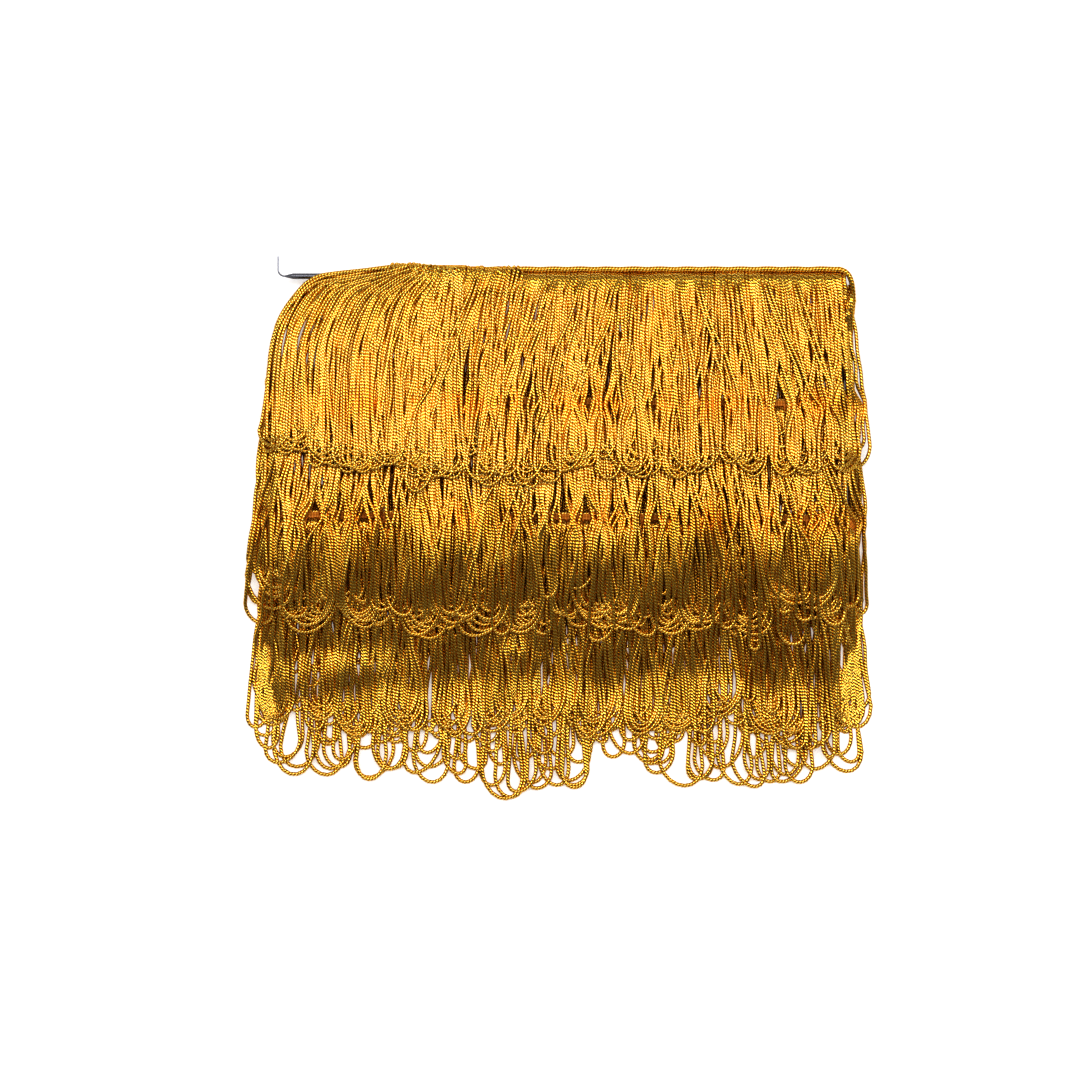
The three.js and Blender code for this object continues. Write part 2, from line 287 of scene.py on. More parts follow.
def tubes(name, groups, finish, seed):
    """One piece from groups of (paths in mm, radius, sides); every path of a group has as many points."""
    rng = np.random.default_rng(seed)
    points, corners, starts, uvs, tones, painted_band_glow = [], [], [], [], [], []
    first = corners_before = 0
    for paths, radius, sides in groups:
        rings, lengths = rings_along(paths, radius, sides)
        count, steps = paths.shape[:2]
        index = first + np.arange(count * steps * sides).reshape(count, steps, sides)
        after = np.roll(index, -1, axis=2)
        quads = np.stack([index[:, :-1], after[:, :-1], after[:, 1:], index[:, 1:]], axis=-1).reshape(-1, 4)
        caps = np.concatenate([index[:, 0, ::-1], index[:, -1]])
        points.append(rings.reshape(-1, 3))
        corners += [quads.ravel(), caps.ravel()]
        starts += [corners_before + 4 * np.arange(len(quads)),
                   corners_before + quads.size + sides * np.arange(len(caps))]
        uvs += [knit_places(lengths, sides), np.zeros((caps.size, 2))]
        tones.append(np.repeat(rng.random(count), steps * sides))
        # painted orange glow near the next row's band, kept for each point
        painted_band_glow.append(np.repeat(uneven_painted_glow(name, paths[..., 0], TOP - paths[..., 1]).ravel(), sides))
        corners_before += quads.size + caps.size
        first += index.size
    mesh = mesh_from_arrays(name, *(np.concatenate(a) for a in (points, corners, starts)))
    mesh.uv_layers.new(name="knit").data.foreach_set("uv", np.concatenate(uvs).ravel())
    mesh.attributes.new("tone", "FLOAT", "POINT").data.foreach_set("value", np.concatenate(tones))
    mesh.attributes.new("painted_band_glow", "FLOAT", "POINT").data.foreach_set("value", np.concatenate(painted_band_glow))
    mesh.update(calc_edges=True)
    mesh.validate()
    mesh.polygons.foreach_set("use_smooth", np.ones(len(mesh.polygons), bool))
    mesh.materials.append(finish)
    piece = bpy.data.objects.new(name, mesh)
    bpy.context.collection.objects.link(piece)
    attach(piece, "root")
    print(name, len(mesh.polygons), "faces,", sum(len(g[0]) for g in groups), "cords")
    return piece


print("rows that pass over another row's band:", sorted(BAND_BELOW))

# %% [markdown]
# ## Shader maths
# A finish is a small graph of nodes. Adding every Math node by hand fills pages, so a small class stands for
# a socket and turns + - * ** into Math nodes. Any other node comes from one method, which takes its type, its
# settings and its inputs.
# %% A class for shader maths
class Signal:
    """A socket of a finish, with Python's operators standing for Math nodes."""

    def __init__(self, finish, socket):
        self.finish = finish
        self.socket = socket

    def math(self, operation, *values):
        return self.finish.node("ShaderNodeMath", {"operation": operation}, dict(enumerate(values)))

    def __add__(self, other): return self.math("ADD", self, other)
    def __radd__(self, other): return self.math("ADD", other, self)
    def __sub__(self, other): return self.math("SUBTRACT", self, other)
    def __rsub__(self, other): return self.math("SUBTRACT", other, self)
    def __mul__(self, other): return self.math("MULTIPLY", self, other)
    def __rmul__(self, other): return self.math("MULTIPLY", other, self)
    def __pow__(self, other): return self.math("POWER", self, other)
    def sine(self): return self.math("SINE", self)
    def size(self): return self.math("ABSOLUTE", self)


class Finish:
    """A material whose nodes are added one call at a time."""

    def __init__(self, name, **constants):
        self.material = bpy.data.materials.new(name)
        self.material.use_nodes = True
        self.nodes = self.material.node_tree.nodes
        self.links = self.material.node_tree.links
        self.surface = self.nodes["Principled BSDF"]
        for socket, value in constants.items():
            self.surface.inputs[socket.replace("_", " ")].default_value = value

    def node(self, kind, settings, inputs, output=0):
        made = self.nodes.new(kind)
        for setting, value in settings.items():
            setattr(made, setting, value)
        for socket, value in inputs.items():
            if isinstance(value, Signal):
                self.links.new(value.socket, made.inputs[socket])
            else:
                made.inputs[socket].default_value = value
        return Signal(self, made.outputs[output])

    def blend(self, factor, first, second):
        return self.node("ShaderNodeMix", {"data_type": "RGBA"}, {0: factor, 6: first, 7: second}, 2)

    def attribute(self, name):
        return self.node("ShaderNodeAttribute", {"attribute_name": name}, {}, 2)

    def object_noise(self, scale, detail):
        where = self.node("ShaderNodeTexCoord", {}, {}, 3)
        return self.node("ShaderNodeTexNoise", {}, {"Vector": where, "Scale": scale, "Detail": detail})

    def bump(self, height, distance, strength):
        self.feed("Normal", self.node(
            "ShaderNodeBump", {}, {"Strength": strength, "Distance": distance, "Height": height}))

    def feed(self, socket, signal):
        self.links.new(signal.socket, self.surface.inputs[socket])


def along_and_round(finish):
    """The two halves of the knit map: the way round the cord, and the length along it."""
    uv = finish.node("ShaderNodeUVMap", {"uv_map": "knit"}, {})
    parts = finish.nodes.new("ShaderNodeSeparateXYZ")
    finish.links.new(uv.socket, parts.inputs[0])
    return Signal(finish, parts.outputs[0]), Signal(finish, parts.outputs[1])


print("operators that make Math nodes: + - * **")

# %% [markdown]
# ## Gold cord
# The cords are spun rayon: silky, deep gold in the folds and bright yellow where they catch the light. The
# chain knit shows as ridges that slant round the cord, 1.5 mm apart. Modelled ridges would need a hundred
# times the faces, so a sine of the knit map gives their colour, gloss and a bump of 0.07 mm. The colour is
# partly painted light: painted shade in the grooves and a pale painted highlight on the ridge tops. Some
# cords are duller than others, and over the deep orange of the next row's band a painted orange glow
# stands in for the light that the band throws up through them.
# %% Gold cord
RIDGES_ROUND = 2
PAINTED_GROOVE_SHADE = (0.40, 0.095, 0.0008, 1)
GOLD = (0.86, 0.67, 0.042, 1)
PAINTED_HIGHLIGHT_GOLD = (1.0, 0.80, 0.30, 1)
DULL_GOLD = (0.60, 0.27, 0.007, 1)
PAINTED_GLOW_GOLD = (0.85, 0.30, 0.006, 1)


def gold_cord():
    finish = Finish("gold_cord", Metallic=0.95, Specular_Tint=(1.0, 0.62, 0.15, 1))
    round_cord, along = along_and_round(finish)
    tone = finish.attribute("tone")
    ridge = ((along + round_cord * RIDGES_ROUND + tone * 5) * (2 * math.pi)).sine() * 0.5 + 0.5
    patch = finish.object_noise(28.0, 2.0)
    # painted shade: the grooves between the knit's ridges get a deep gold, darker than the yarn itself
    shaded_knit = finish.blend(ridge, PAINTED_GROOVE_SHADE, GOLD)
    # painted highlight: the ridge tops are blended towards a pale yellow
    bright = finish.blend(ridge ** 4 * 0.9, shaded_knit, PAINTED_HIGHLIGHT_GOLD)
    worn = finish.blend(tone ** 2 * 0.25 + patch * 0.15, bright, DULL_GOLD)
    # painted glow: cords over the next row's band are tinted deep orange
    finish.feed("Base Color", finish.blend(finish.attribute("painted_band_glow") * 0.45, worn, PAINTED_GLOW_GOLD))
    finish.feed("Roughness", 0.30 - ridge * 0.10)
    finish.bump(ridge, 0.00007, 1.0)
    return finish.material


GOLD_CORD = gold_cord()
print("finish", GOLD_CORD.name, "has", len(GOLD_CORD.node_tree.nodes), "nodes")

# %% [markdown]
# ## Woven band
# The band is woven from the same yarn, but its threads lie flat and matt, in a deep orange. Ribs cross it and
# three chains run along it. Both come from sines of the same map, which is cheaper than modelling a weave
# that only shows in glimpses.
# %% Woven band
BAND_SHADE = (0.45, 0.11, 0.001, 1)
BAND_ORANGE = (0.95, 0.36, 0.006, 1)
CHAINS = 3


def gold_band():
    finish = Finish("gold_band")
    upward, along = along_and_round(finish)
    rib = (along * math.pi).sine().size()
    chain = (upward * (CHAINS * math.pi)).sine().size()
    height = rib * 0.6 + chain * 0.4
    finish.feed("Base Color", finish.blend(height, BAND_SHADE, BAND_ORANGE))
    finish.feed("Roughness", 0.62 - height * 0.12)
    finish.bump(height, 0.0004, 0.9)
    return finish.material


GOLD_BAND = gold_band()
print("finish", GOLD_BAND.name, "has", len(GOLD_BAND.node_tree.nodes), "nodes")

# %% [markdown]
# ## Bright wire
# Drawn wire is bright, and a little hazy where it was handled. A plain mirror would look like plastic foil,
# so a fine noise varies the gloss. The metal's own colour is dark, as the wire shows against the white table.
# %% Bright wire
def bright_wire():
    finish = Finish("bright_wire", Metallic=1.0, Base_Color=(0.18, 0.18, 0.20, 1))
    finish.feed("Roughness", finish.object_noise(60.0, 3.0) * 0.12 + 0.1)
    return finish.material


BRIGHT_WIRE = bright_wire()
print("finish", BRIGHT_WIRE.name, "has", len(BRIGHT_WIRE.node_tree.nodes), "nodes")

# %% [markdown]
# ## The path of a looped cord
# Each cord leaves the band, runs down, turns round in a loop and runs back up. The two legs lie close
# together under the band and spread apart towards the loop. One loop copied hundreds of times would look
# like a comb, so every loop gets its own width, length, lean and wobble from a seeded random source: the
# fringe looks soft, but comes out the same each time.
# %% Top of a leg
LEG_STEPS = 24
ROUND_STEPS = 9
LEG_START = 9.5
LEG_GAP = 0.95
FLAT_HEAD = [(3.2, 0.9), (6.2, 1.7)]
ROPE_HEAD = [(-0.6, -1.2), (0.2, -0.5), (1.4, 0.3), (4.4, 1.5)]
OVER_HEAD = [(-0.6, -3.0), (-1.5, -1.0), (-1.5, 2.4), (0.2, 4.2)]
OVER_UNTIL = -22


def heads(name, x, height):
    """The first points of a leg: out of the band, from under the rope edge, or over the edge from behind."""
    band = band_drop(name, x)
    if name != "front_1":
        return [placed(x, band + fall, height + rise) for fall, rise in FLAT_HEAD]
    over = soft((OVER_UNTIL + 6 * np.sin(x * 3.1) - x) / 3)
    points = []
    for (fall, rise), (over_fall, over_rise) in zip(ROPE_HEAD, OVER_HEAD):
        across_edge = fall + (over_fall + 0.7 * np.sin(x * 9.7) - fall) * over
        points.append(placed(x, band + across_edge, height + rise + (over_rise - rise) * over))
    return points


print("a looped cord has two legs of", LEG_STEPS, "places and a rounded end of", ROUND_STEPS - 1)

# %% [markdown]
# ## Legs and rounded ends
# Each leg is a straight line down, bent by its lean and by two sine waves that die out at both ends. Its
# height is the layer's height at every place, so it lies on whatever is beneath it. Where cords pass over the
# next row's band they draw together in places, and the band shows between them.
# %% Legs and rounded ends
GATHER_REACH = 6
DEEPEST_END = 14
SIDE_EDGE = 129
SIDE_REACH = 16
SIDE_SINK = 8.5


def round_the_side(x):
    """How far cords sink where they lie past the frame's side."""
    return SIDE_SINK * soft((np.abs(x) - SIDE_EDGE) / SIDE_REACH)


def gather(name, x, drop):
    pull = (1.9 + 1.4 * np.sin(x / 19 + 1)) * np.sin(x / 2.4 + 1.5 * np.sin(x / 15))
    return near_next_band(name, x, drop, GATHER_REACH) * pull


def loop_end(name, legs, depth, height):
    """The rounded end between two legs."""
    angle = np.linspace(0, math.pi, ROUND_STEPS + 1)[None, 1:-1]
    left, right = legs[0][:, -1:, :2], legs[1][:, -1:, :2]
    across_end = (left + right) / 2 - (right - left) / 2 * np.cos(angle)[..., None]
    round_x = across_end[..., 0]
    round_drop = TOP - across_end[..., 1] + depth * np.sin(angle)
    rise = layer_level(name, round_x, round_drop) + height - round_the_side(round_x)
    return placed(round_x, round_drop, np.maximum(rise, CORD))


def hang_loops(name, plan, seed, lay=(0.9, 2.7)):
    """Paths of looped cords. The plan gives each loop's root, shift sideways, half width and tip."""
    rng = np.random.default_rng(seed)
    x, shift, half, tip = (np.asarray(column, float)[:, None] for column in plan)
    pick = lambda low, high: rng.uniform(low, high, x.shape)
    depth = np.minimum(half * pick(0.95, 1.35), DEEPEST_END)
    band = band_drop(name, x)
    start = band + LEG_START
    height = pick(*lay)
    power = pick(1.0, 2.0)
    tilt = pick(-0.45, 0.45) * half
    share = np.linspace(0, 1, LEG_STEPS)[None]
    legs = []
    for sign in (-1, 1):
        drop = start + (tip - depth + sign * tilt - start) * share
        down = (drop - band) / (tip - band)
        middle = x + lean(name, x, down) + shift * soft(down * 1.3)
        bow = np.sin(math.pi * share)
        wave = pick(0.2, 1.4) * np.sin(drop / pick(7, 14) + pick(0, 6.3))
        wave += pick(0.1, 0.6) * np.sin(drop / pick(2.6, 5) + pick(0, 6.3))
        leg_x = middle + sign * (LEG_GAP + (half - LEG_GAP) * down**power) + wave * bow
        leg_x = leg_x + gather(name, leg_x, drop)
        lie = height + sign * pick(-0.5, 0.5) * bow + 0.3 * np.sin(drop / pick(5, 11) + pick(0, 6.3)) * bow
        rise = np.maximum(layer_level(name, leg_x, drop) + lie - round_the_side(leg_x), CORD)
        top = heads(name, x + sign * LEG_GAP, layer_level(name, x, band + 4.0))
        legs.append(np.concatenate(top + [placed(leg_x, drop, rise)], axis=1))
    return np.concatenate([legs[0], loop_end(name, legs, depth, height), legs[1][:, ::-1]], axis=1)


print("cords draw together within", GATHER_REACH, "mm of the next band's middle")

# %% [markdown]
# ## Plans of a row
# A machine sews the roots evenly, and handling spoils the order. Two kinds of plan are enough: loops that
# hang each by itself, and loops that nest in clumps, where narrow loops lie inside wide ones and the clump
# has one rounded end. A plan is only numbers, so the same path function draws both.
# %% Plans of a row
def even_roots(first, last, count, rng):
    """Even places with a little jitter."""
    gap = (last - first) / count
    return first + gap * (np.arange(count) + 0.5) + rng.uniform(-0.3, 0.3, count) * gap


def scattered(name, first, last, count, width, ragged, stray, seed, ends=end_drop):
    """A plan of loops that hang each by itself."""
    rng = np.random.default_rng(seed)
    root = even_roots(first, last, count, rng)
    tip = ends(name, root) + rng.normal(0, ragged, count)
    return root, rng.normal(0, stray, count), rng.uniform(*width, count) / 2, tip


def clumped(name, first, last, clumps, each, width, ragged, seed):
    """A plan of loops that nest in clumps, with a rounded end to each clump."""
    rng = np.random.default_rng(seed)
    centre = np.repeat(even_roots(first, last, clumps, rng), each)
    root = even_roots(first, last, clumps * each, rng)
    wide = np.repeat(rng.uniform(*width, clumps) / 2, each)
    order = np.tile((np.arange(each) + 1) / each, clumps)
    order = np.concatenate([rng.permutation(part) for part in np.split(order, clumps)])
    half = wide * (0.45 + 0.55 * order) + rng.normal(0, 0.3, len(root))
    tip = end_drop(name, centre) + np.repeat(rng.normal(0, ragged, clumps), each) - (wide - half) * 1.2
    shift = centre - root + np.repeat(rng.normal(0, 3, clumps), each) + rng.normal(0, 0.8, len(root))
    return root, shift, half, tip + rng.normal(0, 0.6, len(root))


example = clumped("front_2", -130, 130, 2, 3, (20, 30), 3, 1)
print("half widths in two clumps of three:", np.round(example[2], 1), "mm")

# %% [markdown]
# ## The three front rows
# The lowest row goes on first and the top row last, each over the band of the next one down. A row could be
# one group of like cords, but it would look combed. So it has four groups: nested clumps on top, plain cords
# that fill in beneath, a few loose ones, and some that went astray when the trim was wound. In the top row
# the cords on the left come up over the edge from behind, and those on the right start under the rope edge.
# %% Front rows
ROW_END = 134
UNDER_SHORTER = 7
ASTRAY_SHIFT = 13
FRONT_ROWS = {
    "front_3": dict(first=-134, clumps=15, each=5, under=128, width=(16, 28), ragged=3.0, seed=30),
    "front_2": dict(first=-134, clumps=14, each=5, under=130, width=(21, 32), ragged=3.5, seed=20),
    "front_1": dict(first=-62, clumps=13, each=5, under=124, width=(12, 20), ragged=2.5, seed=10),
}
for name, look in FRONT_ROWS.items():
    first, seed = look["first"], look["seed"]
    upper = clumped(name, first, ROW_END, look["clumps"], look["each"], look["width"], look["ragged"], seed)
    lower = scattered(name, first, 133, look["under"], width=(6, 13), ragged=5, stray=3, seed=seed + 1)
    lower = *lower[:3], lower[3] - UNDER_SHORTER
    loose = scattered(name, first, 128, 14, width=(8, 15), ragged=5, stray=8, seed=seed + 2)
    astray = scattered(name, 45, 120, 5, width=(4, 9), ragged=6, stray=3, seed=seed + 7)
    astray = astray[0], astray[1] + ASTRAY_SHIFT, *astray[2:]
    tubes(name, [
        (hang_loops(name, upper, seed + 3), CORD, 6),
        (hang_loops(name, lower, seed + 4, lay=(0.9, 1.5)), CORD, 5),
        (hang_loops(name, loose, seed + 5, lay=(2.6, 3.3)), CORD, 6),
        (hang_loops(name, astray, seed + 8, lay=(3.2, 3.9)), CORD, 6),
    ], GOLD_CORD, seed + 6)

# %% [markdown]
# ## The fan at the top left
# The strip starts left of the middle of the top edge. Its first cords come up over the edge in a hump, and
# fan out to the left to cover the corner. Drawing each by hand would be slow, so two ways are drawn, the
# outermost and the innermost cord's, and every other cord follows a way between them.
# %% Ways of the fan
OUTER_WAY = np.array([
    (-76, 0.4), (-100, 3.6), (-119, 6), (-129, 20), (-134.5, 32), (-136, 55), (-136, 84),
], float)
INNER_WAY = np.array([
    (-46, 0.4), (-46.5, 10), (-47, 22), (-47.5, 36), (-48, 52), (-48, 70), (-48, 95),
], float)
HUMP_FROM = -58


def corners_cut(paths):
    """Rounds every corner of the paths, as a soft cord does."""
    for _ in range(2):
        a, b = paths[:, :-1], paths[:, 1:]
        cut = np.stack([a * 0.75 + b * 0.25, a * 0.25 + b * 0.75], axis=2)
        cut = cut.reshape(len(paths), -1, paths.shape[2])
        paths = np.concatenate([paths[:, :1], cut, paths[:, -1:]], axis=1)
    return paths


print("a rounded way has", corners_cut(OUTER_WAY[None]).shape[1], "places")

# %% [markdown]
# ## The fan's loops
# A path function of its own is used here, because these cords turn sideways and their two legs must stay side
# by side in the turn: each leg is set off from the way at right angles to it. Near the edge the cords pile up
# on each other, which gives the hump.
# %% Fan
def fan_loops(count, seed):
    rng = np.random.default_rng(seed)
    order = (np.arange(count) + 0.5) / count
    jitter = lambda size: rng.normal(0, size, count)
    column = lambda low, high: rng.uniform(low, high, (count, 1))
    blend = order[:, None, None] ** 0.9
    way = OUTER_WAY * (1 - blend) + INNER_WAY * blend
    way[:, 0, 0] += jitter(1.6)
    way[:, 0, 1] += rng.uniform(-0.6, 0.8, count)
    way[:, 2:-1] += rng.normal(0, 1.4, (count, 1, 2)) * blend
    half = rng.uniform(2.4, 7, count)
    way[:, -1, 0] += jitter(1.5)
    way[:, -1, 1] = end_drop("front_1", way[:, -1, 0]) + jitter(3.5) - half
    root = way[:, 0, 0]
    middle = corners_cut(way)
    share = np.linspace(0, 1, middle.shape[1])[None]
    travel = np.gradient(middle, axis=1)
    travel /= np.linalg.norm(travel, axis=2, keepdims=True)
    normal = np.stack([travel[..., 1], -travel[..., 0]], axis=-1)
    height = column(0.9, 3.2)
    hump = (rng.uniform(0, 2, count) * soft((HUMP_FROM - root) / 12))[:, None]
    legs = []
    for sign in (-1, 1):
        wide = LEG_GAP + (half[:, None] - LEG_GAP) * share**1.6
        wave = column(0.2, 1.1) * np.sin(share * column(8, 20) + column(0, 6.3))
        leg = middle + normal * (sign * wide + wave * np.sin(math.pi * share))[..., None]
        x, drop = leg[..., 0], leg[..., 1]
        pile = (1.0 + hump) * np.exp(-((x - root[:, None]) / 14)**2 - (drop / 16)**2)
        rise = layer_level("front_1", x, drop) + height + pile - round_the_side(x)
        begin = root[:, None] + sign * LEG_GAP
        top = [placed(begin, -0.4 - 0.3 * hump, 8.6), placed(begin, -0.5 - 0.7 * hump, 11.6),
               placed(begin, -0.3 - 0.6 * hump, 12.8 + hump)]
        legs.append(np.concatenate(top + [placed(x, drop, np.maximum(rise, CORD))[:, 1:]], axis=1))
    rounded = loop_end("front_1", legs, half[:, None], height)
    return np.concatenate([legs[0], rounded, legs[1][:, ::-1]], axis=1)


tubes("corner_fan", [(fan_loops(50, 111), CORD, 6), (fan_loops(46, 112), CORD, 5)], GOLD_CORD, 113)

# %% [markdown]
# ## The back rows
# The back of the winding lies on the table. It shows from below and from the sides, and as deep gold between
# the front cords, so its rows are made the same way but with fewer cords, and plainer tubes of five sides.
# %% Back rows
for row, name in enumerate(["back_1", "back_2"]):
    plan = scattered(name, -130, 130, 110, width=(5, 12), ragged=3, stray=2, seed=40 + row)
    tubes(name, [(hang_loops(name, plan, 50 + row, lay=(0.9, 2.4)), CORD, 5)], GOLD_CORD, 60 + row)

# %% [markdown]
# ## The open loops at the bottom
# The last half turn's loops stick out below everything and lie open on the table, so white shows through
# them. Their lower outline isn't level: it hangs lowest left of the middle and has a gap right of it. A line
# through a few places gives that outline, and the loops' own randomness makes it ragged.
# %% Open loops
SHORTER = 14
OPEN_ENDS = {
    "x": (-135, -127, -99, -75, -56, -45, -38, -28, -16, 10, 24, 40, 64, 82, 110, 128, 136),
    "drop": (226, 237, 236, 240, 237, 241, 249, 250, 245, 246, 224, 235, 239, 240, 242, 236, 224),
}


def open_ends(name, x):
    return np.interp(x, OPEN_ENDS["x"], OPEN_ENDS["drop"])


long_loops = scattered("back_3", -130, 130, 46, width=(11, 23), ragged=3, stray=6, seed=71, ends=open_ends)
root, shift, half, tip = scattered(
    "back_3", -130, 130, 44, width=(8, 16), ragged=5, stray=5, seed=73, ends=open_ends)
tubes("open_loops", [
    (hang_loops("back_3", long_loops, 72, lay=(0.9, 3.2)), CORD, 6),
    (hang_loops("back_3", (root, shift, half, tip - SHORTER), 74, lay=(0.9, 2.4)), CORD, 6),
], GOLD_CORD, 75)

# %% [markdown]
# ## The band's route
# One band holds the tops of all the cords and runs through the whole winding. It stands on edge along the
# top of the frame, turns flat at the right, and then passes round one side of the frame after the other. The
# route is a list of places, and a second list says which way the band's width points at each.
# %% Route of the band
BAND_WIDTH = 6
BAND_THICKNESS = 1.4
TURN_REACH = 8
BAND_LIFT = 0.8
STANDING = FRONT_LEVEL - 2.9


def band_run(name):
    x = np.linspace(-HALF_WIDTH, HALF_WIDTH, 66)
    x = x if TURNS[name]["front"] else x[::-1]
    drop = band_drop(name, x)
    level = layer_level(name, x, drop + BAND_MIDDLE)
    return np.stack([x, drop + BAND_WIDTH / 2, level + BAND_LIFT], axis=1)


def round_side(before, after):
    angle = np.linspace(0, math.pi, 16)[1:-1]
    share = (1 - np.cos(angle)) / 2
    points = before + (after - before) * share[:, None]
    points[:, 0] = np.sign(before[0]) * (HALF_WIDTH + TURN_REACH * np.sin(angle) ** 0.7)
    return points


edge_x = np.linspace(-70, 129, 64)
edge_run = np.stack([edge_x, np.full(64, 0.9), np.full(64, STANDING)], axis=1)
corner = np.array([[133.4, 1.4, 8.8], [136.2, 4.2, 8.1], [137.8, 9, 6.9], [138, 14, 4.9], [136, 18.5, 2.4]])
route = [edge_run, corner]
up = [[0, 0, 1]] * 64 + [[0.3, 0.4, 0.8], [0.4, 0.7, 0.6], [0.1, 0.9, 0.3], [0, 1, 0.1], [0, 1, 0]]
for name in ["back_1", "front_2", "back_2", "front_3", "back_3"]:
    run = band_run(name)
    if name != "back_1":
        route.append(round_side(route[-1][-1], run[0]))
        up += [[0, 1, 0]] * len(route[-1])
    route.append(run)
    up += [[0, 1, 0]] * len(run)
route = np.concatenate(route)
travel = np.gradient(route, axis=0)
travel /= np.linalg.norm(travel, axis=1, keepdims=True)
wide = np.array(up, float)
wide -= (wide * travel).sum(axis=1, keepdims=True) * travel
wide /= np.linalg.norm(wide, axis=1, keepdims=True)
length = np.concatenate([[0], np.linalg.norm(np.diff(route, axis=0), axis=1).cumsum()])
print("band route", len(route), "places,", round(length[-1] / 1000, 2), "m")

# %% [markdown]
# ## The band laid along its route
# The band could be extruded step by step, but it has hundreds of steps. So it starts as a flat grid with one
# column for each place of the route. Each column is laid across its place, the knit map gets the length along
# the band, and a Solidify modifier gives the sheet its thickness.
# %% Band laid along its route
ACROSS = 6
BAND_RIB = 1.4
SMOOTH_ANGLE = math.radians(50)


def clear_selection():
    for chosen in list(bpy.context.selected_objects):
        chosen.select_set(False)


clear_selection()
bpy.ops.mesh.primitive_grid_add(x_subdivisions=len(route) - 1, y_subdivisions=ACROSS, size=2)
band = bpy.context.object
band.name = "stitched_band"
flat = np.empty(len(band.data.vertices) * 3)
band.data.vertices.foreach_get("co", flat)
flat = flat.reshape(-1, 3)
step = np.rint((flat[:, 0] + 1) / 2 * (len(route) - 1)).astype(int)
share = flat[:, 1] / 2
laid = route[step] + wide[step] * (share * BAND_WIDTH)[:, None]
laid = placed(laid[:, 0], laid[:, 1], laid[:, 2]) * MM
band.data.vertices.foreach_set("co", laid.ravel())
uv = band.data.uv_layers[0]
uv.name = "knit"
vertex_of = np.empty(len(band.data.loops), int)
band.data.loops.foreach_get("vertex_index", vertex_of)
rib_places = np.stack([share[vertex_of] + 0.5, length[step[vertex_of]] / BAND_RIB], axis=1)
uv.data.foreach_set("uv", rib_places.ravel())
thickness = band.modifiers.new("thickness", "SOLIDIFY")
thickness.thickness = BAND_THICKNESS * MM
thickness.offset = 0
bpy.ops.object.modifier_apply(modifier="thickness")
bpy.ops.object.shade_smooth_by_angle(angle=SMOOTH_ANGLE)
band.data.materials.append(GOLD_BAND)
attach(band, "root")
print("stitched_band", len(band.data.polygons), "faces")

# %% [markdown]
# ## Chain lines
# Two lines of chain stitch bind the band's edges, and a thicker one along the winding's top edge catches the
# light and reads as a bright rope. At the right it turns the corner and runs down the side. All three are
# tubes like the cords, so the same knit shows on them.
# %% Chain lines
LINE_PLACE = 2.7
LINE_RADIUS = 0.8
ROPE_RADIUS = 1.25
ROPE_TURN = np.array([
    (133.5, 1.5, 12.2), (135.8, 3.6, 12), (137.2, 7.5, 11.2), (137.9, 13, 9.6), (137.8, 19, 7.2),
    (137.2, 25, 4.8), (136.6, 31, 2.8),
])
route_mm = placed(*route.T)
upper_line = route_mm - wide * [1, -1, 1] * LINE_PLACE
lower_line = route_mm + wide * [1, -1, 1] * LINE_PLACE
rope_x = np.linspace(-66, 131, 100)
rope = placed(rope_x, 0.7 + 0.12 * np.sin(rope_x * 0.5), STANDING + 3.6 + 0.25 * np.sin(rope_x * 0.21))
turning = corners_cut(np.concatenate([rope[-1:], placed(*ROPE_TURN.T)])[None])[0]
rope = np.concatenate([rope, turning[1:]])
tubes("chain_lines", [
    (upper_line[None], LINE_RADIUS, 6),
    (lower_line[None], LINE_RADIUS, 6),
    (rope[None], ROPE_RADIUS, 8),
], GOLD_CORD, 81)

# %% [markdown]
# ## Loose loops at the sides
# Where the band passes round the frame a few loops hang free beside the winding. They aren't carried by any
# row, so each bunch has its own curve: out from the band, down, and in again as it comes to lie on the table.
# %% Side loops
SIDE_STEPS = 22
SIDE_BUNCHES = [
    dict(side=-1, roots=(46, 60), ends=(112, 160), bows=(1, 9), count=10),
    dict(side=-1, roots=(100, 116), ends=(168, 212), bows=(1, 8), count=10),
    dict(side=1, roots=(7, 20), ends=(62, 100), bows=(-3, 2), count=14),
    dict(side=1, roots=(62, 76), ends=(125, 162), bows=(1, 10), count=10),
    dict(side=1, roots=(114, 138), ends=(186, 222), bows=(1, 8), count=10),
    dict(side=-1, roots=(136, 150), ends=(208, 210), bows=(9, 9), count=1),
]


def curve(points, share):
    """Places on a cubic curve with four control points."""
    a, b, c, d = points
    t = share[..., None]
    return a * (1 - t)**3 + 3 * b * t * (1 - t)**2 + 3 * c * t**2 * (1 - t) + d * t**3


def side_loops(rng, side, roots, ends, bows, count):
    """Loops that bow out beside the winding and come to lie on the table."""
    pick = lambda low, high: rng.uniform(low, high, count)
    order = (np.arange(count) + 0.5) / count
    out = bows[0] + (bows[1] - bows[0]) * order**1.5
    half = pick(1.0, 3.0)
    end = pick(*ends)
    points = [np.stack([side * where, drop], axis=1)[:, None] for where, drop in [
        (pick(133, 137.5), pick(*roots)),
        (136.5 + 0.5 * out, roots[1] + (end - roots[1]) * 0.35),
        (134.5 + 1.3 * out, roots[1] + (end - roots[1]) * 0.7),
        (pick(131, 135) + 0.6 * out, end),
    ]]
    share = np.linspace(0, 1, SIDE_STEPS)[None]
    legs = []
    for sign in (-1, 1):
        middle = curve(points, share)
        x, drop = middle[..., 0], middle[..., 1]
        wave = pick(0.3, 0.9)[:, None] * np.sin(drop / pick(3, 8)[:, None] + pick(0, 6.3)[:, None])
        x = x + sign * half[:, None] * share**0.6 + wave * soft(share * 3)
        legs.append(placed(x, drop, CORD + (5 + 8 * (1 - order[:, None])) * (1 - soft(share * 1.8))))
    return np.concatenate([legs[0], loop_end("back_3", legs, half[:, None], CORD), legs[1][:, ::-1]], axis=1)


rng = np.random.default_rng(90)
loops = np.concatenate([side_loops(rng, **bunch) for bunch in SIDE_BUNCHES])
tubes("side_loops", [(loops, CORD, 6)], GOLD_CORD, 91)

